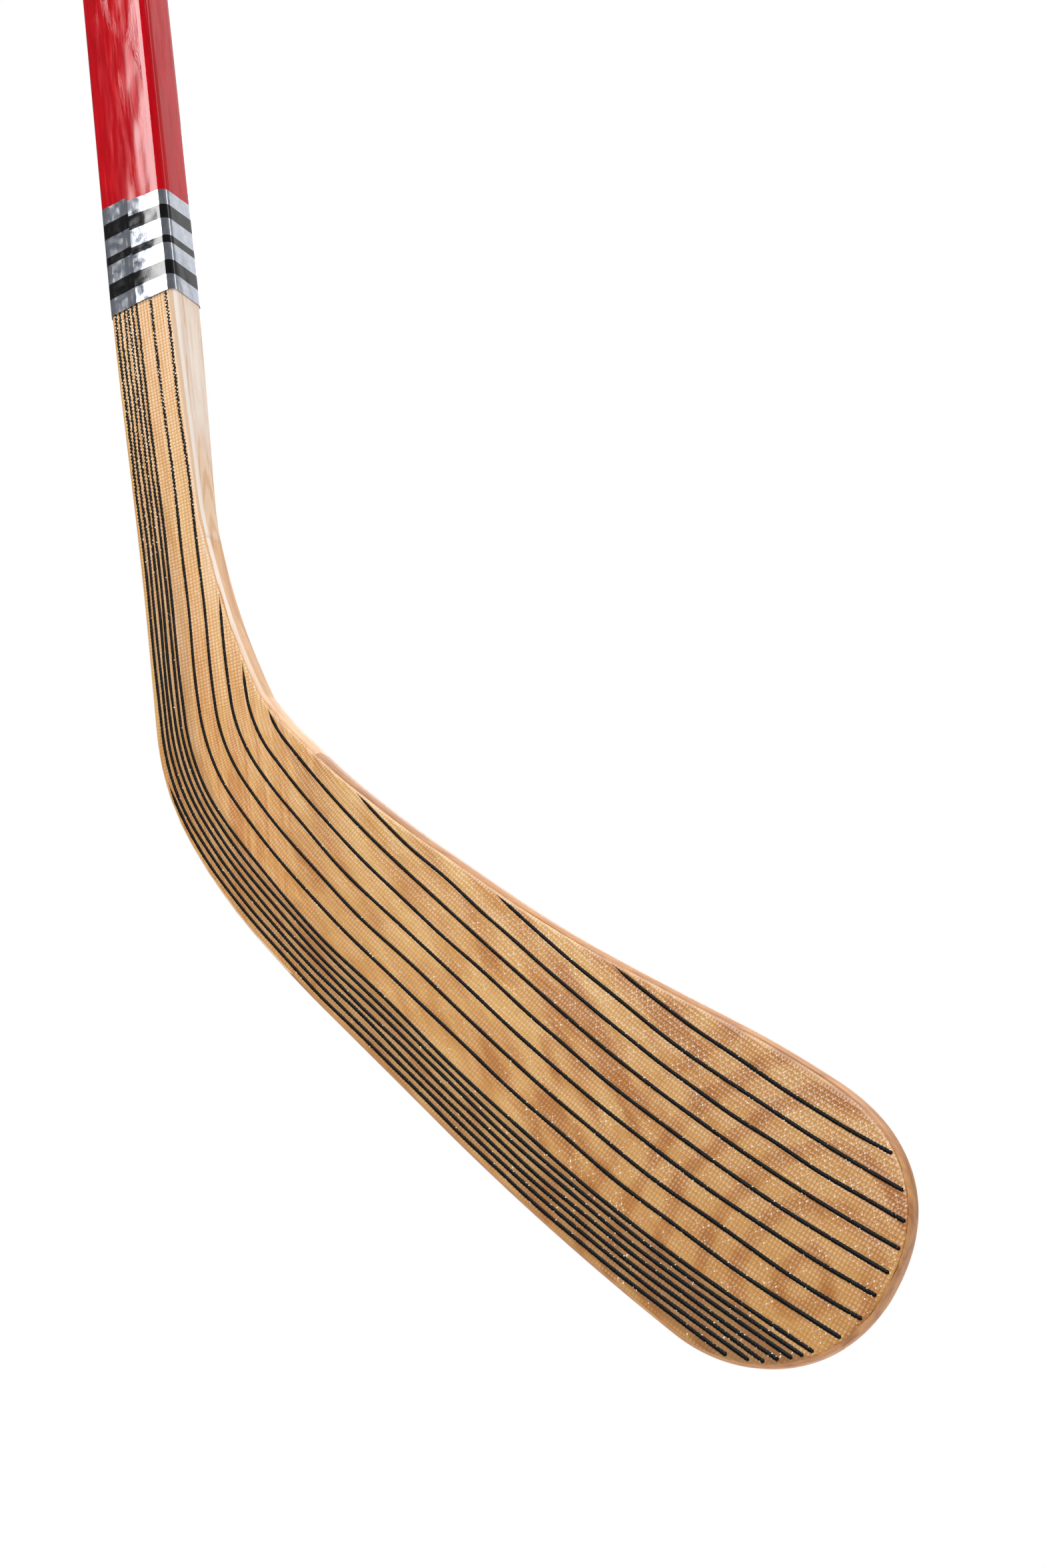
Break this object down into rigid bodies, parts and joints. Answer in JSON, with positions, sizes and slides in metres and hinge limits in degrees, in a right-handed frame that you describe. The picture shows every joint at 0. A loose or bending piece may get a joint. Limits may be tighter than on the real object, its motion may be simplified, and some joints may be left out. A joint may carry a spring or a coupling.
{
  "type": "ice hockey stick",
  "caption": "Straight rectangular shaft with a foil band, thinned neck and a curved flat blade at an angle for striking a puck.",
  "frame": {"origin": "centre of the butt's end face, at the top of the shaft", "axes": "+Z along the shaft from the blade to the butt, +X from the heel towards the toe across the shaft's wide face, +Y from the blade's concave front towards its back"},
  "size_m": [0.2462, 0.0498, 1.6553],
  "materials": {
    "core_wood": "matte, open end grain at the butt",
    "edge_wood": "pale blond wood with a soft figure, satin",
    "heel_wood": "amber-toned wood with its grain along the shaft",
    "blade_wood": "orange-brown wood with its grain along the blade",
    "glass_skin": "resin-bonded glass fibre",
    "blade_cloth": "amber glass cloth in glossy resin, woven texture",
    "lacquer": "glossy red lacquer with fine streaks along the shaft",
    "foil": "bright silver foil, slightly creased",
    "stripe_ink": "glossy black print",
    "black_yarn": "black yarn wetted with clear resin"
  },
  "bodies": {
    "root": {"shaft_core_heel_side": "core_wood", "shaft_core_middle": "core_wood", "shaft_core_toe_side": "core_wood", "shaft_face_ply_front": "core_wood", "shaft_face_ply_back": "core_wood", "shaft_edge_ply_heel_side": "edge_wood", "shaft_edge_ply_toe_side": "edge_wood", "shaft_skin_front": "glass_skin", "shaft_skin_back": "glass_skin", "lacquer_coat": "lacquer", "foil_band": "foil", "band_stripes": "stripe_ink", "heel_wedge": "heel_wood", "blade_core_lower": "blade_wood", "blade_core_middle": "blade_wood", "blade_core_upper": "blade_wood", "blade_cloth_front": "blade_cloth", "blade_cloth_back": "blade_cloth", "yarns_front": "black_yarn", "yarns_back": "black_yarn"}
  },
  "joints": []
}
